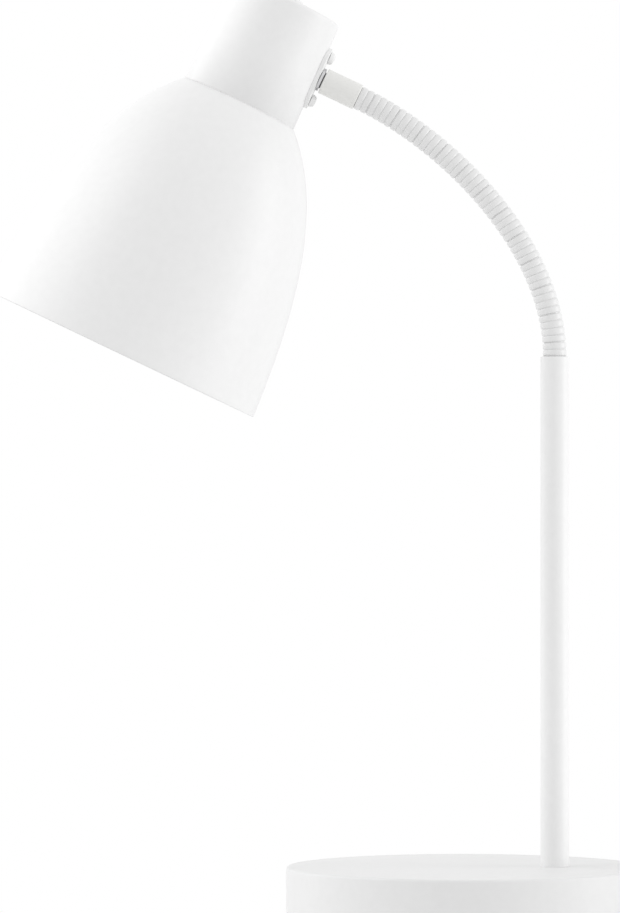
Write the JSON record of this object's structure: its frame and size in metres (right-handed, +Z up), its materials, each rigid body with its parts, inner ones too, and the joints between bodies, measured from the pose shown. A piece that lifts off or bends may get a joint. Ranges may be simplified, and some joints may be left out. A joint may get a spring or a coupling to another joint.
{
  "type": "gooseneck desk lamp with a drawer base",
  "caption": "Desk lamp with a bell shade on a flexible gooseneck and pole, on a weighted round drum base with a pull-out drawer.",
  "frame": {"origin": "middle of the base's underside, on the desk", "axes": "+Z up; the head reaches towards -X; the drawer opens towards -Y"},
  "size_m": [0.2968, 0.1782, 0.462],
  "materials": {
    "shell_white": "satin moulded plastic",
    "inner_white": "matt moulded plastic",
    "lamp_white": "satin powder coat",
    "neck_white": "satin paint over a wound steel neck",
    "sleeve_ivory": "satin paint, slightly warmer",
    "foam_pad": "closed-cell foam",
    "black_plastic": "matt moulded",
    "button_white": "gloss moulded",
    "zinc_steel": "zinc plated",
    "weight_steel": "bare rolled plate",
    "brass": "bright stamped",
    "lead_sheath": "matt sheath",
    "bulb_metal": "plated cap",
    "bulb_body": "satin moulded",
    "bulb_opal": "opal diffuser"
  },
  "bodies": {
    "base": {"foot_pad": "foam_pad", "base_cover": "inner_white", "cover_screws": "zinc_steel", "base_shell": "shell_white", "weight_plate": "weight_steel", "weight_screws": "zinc_steel", "deck_plate": "inner_white", "deck_screws": "zinc_steel", "runner_left": "inner_white", "runner_right": "inner_white", "runner_screws": "zinc_steel", "cord_gland": "black_plastic", "terminal_block": "inner_white", "terminal_screws": "brass", "lead_base": "lead_sheath", "pole": "lamp_white", "pole_stud": "zinc_steel", "pole_washer": "zinc_steel", "pole_nut": "zinc_steel"},
    "drawer": {"drawer_tray": "inner_white", "drawer_front": "shell_white", "front_screws": "zinc_steel", "drawer_knob": "shell_white", "knob_screw": "zinc_steel"},
    "neck_root": {"gooseneck_00": "neck_white", "lead_neck": "lead_sheath"},
    "link_01": {"gooseneck_01": "neck_white"},
    "link_02": {"gooseneck_02": "neck_white"},
    "link_03": {"gooseneck_03": "neck_white"},
    "link_04": {"gooseneck_04": "neck_white"},
    "link_05": {"gooseneck_05": "neck_white"},
    "link_06": {"gooseneck_06": "neck_white"},
    "link_07": {"gooseneck_07": "neck_white"},
    "link_08": {"gooseneck_08": "neck_white"},
    "link_09": {"gooseneck_09": "neck_white"},
    "link_10": {"gooseneck_10": "neck_white"},
    "link_11": {"gooseneck_11": "neck_white"},
    "head": {"gooseneck_12": "neck_white", "neck_sleeve": "sleeve_ivory", "neck_nipple": "zinc_steel", "bracket_plate": "lamp_white", "bracket_screws": "lamp_white", "nipple_nut": "zinc_steel", "lamp_cup": "lamp_white", "lamp_shade": "lamp_white", "holder_bracket": "zinc_steel", "holder_screws": "zinc_steel", "lamp_holder": "black_plastic", "holder_shell": "brass", "holder_contact": "brass", "shade_ring": "black_plastic", "lead_head": "lead_sheath", "switch_body": "button_white", "switch_nut": "lamp_white", "switch_spring": "zinc_steel", "bulb_cap": "bulb_metal", "bulb_housing": "bulb_body", "bulb_globe": "bulb_opal"},
    "button": {"switch_button": "button_white"}
  },
  "joints": [
    {"name": "drawer_slide", "type": "slide", "parent": "base", "child": "drawer", "axis": [0, -1, 0], "range_m": [0, 0.08]},
    {"name": "neck_swing", "type": "hinge", "parent": "base", "child": "neck_root", "pos_m": [0.04, 0, 0.2915], "axis": [0, 0, 1], "range_deg": [-150, 150]},
    {"name": "neck_bend_01", "type": "hinge", "parent": "neck_root", "child": "link_01", "pos_m": [0.04, 0, 0.2979], "axis": [0, -1, 0], "range_deg": [-6.6, 3], "deforming": ["lead_neck"]},
    {"name": "neck_bend_02", "type": "hinge", "parent": "link_01", "child": "link_02", "pos_m": [0.03795, 0, 0.31054], "axis": [0, -1, 0], "range_deg": [-6.6, 3], "deforming": ["lead_neck"]},
    {"name": "neck_bend_03", "type": "hinge", "parent": "link_02", "child": "link_03", "pos_m": [0.03419, 0, 0.32277], "axis": [0, -1, 0], "range_deg": [-6.6, 3], "deforming": ["lead_neck"]},
    {"name": "neck_bend_04", "type": "hinge", "parent": "link_03", "child": "link_04", "pos_m": [0.02899, 0, 0.33447], "axis": [0, -1, 0], "range_deg": [-6.6, 3], "deforming": ["lead_neck"]},
    {"name": "neck_bend_05", "type": "hinge", "parent": "link_04", "child": "link_05", "pos_m": [0.02261, 0, 0.34557], "axis": [0, -1, 0], "range_deg": [-6.6, 3], "deforming": ["lead_neck"]},
    {"name": "neck_bend_06", "type": "hinge", "parent": "link_05", "child": "link_06", "pos_m": [0.01527, 0, 0.35605], "axis": [0, -1, 0], "range_deg": [-6.6, 3], "deforming": ["lead_neck"]},
    {"name": "neck_bend_07", "type": "hinge", "parent": "link_06", "child": "link_07", "pos_m": [0.00711, 0, 0.36591], "axis": [0, -1, 0], "range_deg": [-4.1, 5], "deforming": ["lead_neck"]},
    {"name": "neck_bend_08", "type": "hinge", "parent": "link_07", "child": "link_08", "pos_m": [-0.00174, 0, 0.37516], "axis": [0, -1, 0], "range_deg": [-4.1, 5], "deforming": ["lead_neck"]},
    {"name": "neck_bend_09", "type": "hinge", "parent": "link_08", "child": "link_09", "pos_m": [-0.0112, 0, 0.38378], "axis": [0, -1, 0], "range_deg": [-4.1, 5], "deforming": ["lead_neck"]},
    {"name": "neck_bend_10", "type": "hinge", "parent": "link_09", "child": "link_10", "pos_m": [-0.02123, 0, 0.39174], "axis": [0, -1, 0], "range_deg": [-4.1, 5], "deforming": ["lead_neck"]},
    {"name": "neck_bend_11", "type": "hinge", "parent": "link_10", "child": "link_11", "pos_m": [-0.03178, 0, 0.39898], "axis": [0, -1, 0], "range_deg": [-4.1, 5], "deforming": ["lead_neck"]},
    {"name": "neck_bend_12", "type": "hinge", "parent": "link_11", "child": "head", "pos_m": [-0.04284, 0, 0.40542], "axis": [0, -1, 0], "range_deg": [-4.1, 5], "deforming": ["lead_neck"]},
    {"name": "button_press", "type": "slide", "parent": "head", "child": "button", "axis": [-0.4305, 0, -0.9026], "range_m": [0, 0.0025], "stiffness_N_per_m": 500, "deforming": ["switch_spring"]}
  ],
  "couplings": [
    {"joint": "neck_bend_02", "follows": "neck_bend_01", "ratio": 1},
    {"joint": "neck_bend_03", "follows": "neck_bend_01", "ratio": 1},
    {"joint": "neck_bend_04", "follows": "neck_bend_01", "ratio": 1},
    {"joint": "neck_bend_05", "follows": "neck_bend_01", "ratio": 1},
    {"joint": "neck_bend_06", "follows": "neck_bend_01", "ratio": 1},
    {"joint": "neck_bend_07", "follows": "neck_bend_12", "ratio": 1},
    {"joint": "neck_bend_08", "follows": "neck_bend_12", "ratio": 1},
    {"joint": "neck_bend_09", "follows": "neck_bend_12", "ratio": 1},
    {"joint": "neck_bend_10", "follows": "neck_bend_12", "ratio": 1},
    {"joint": "neck_bend_11", "follows": "neck_bend_12", "ratio": 1}
  ]
}
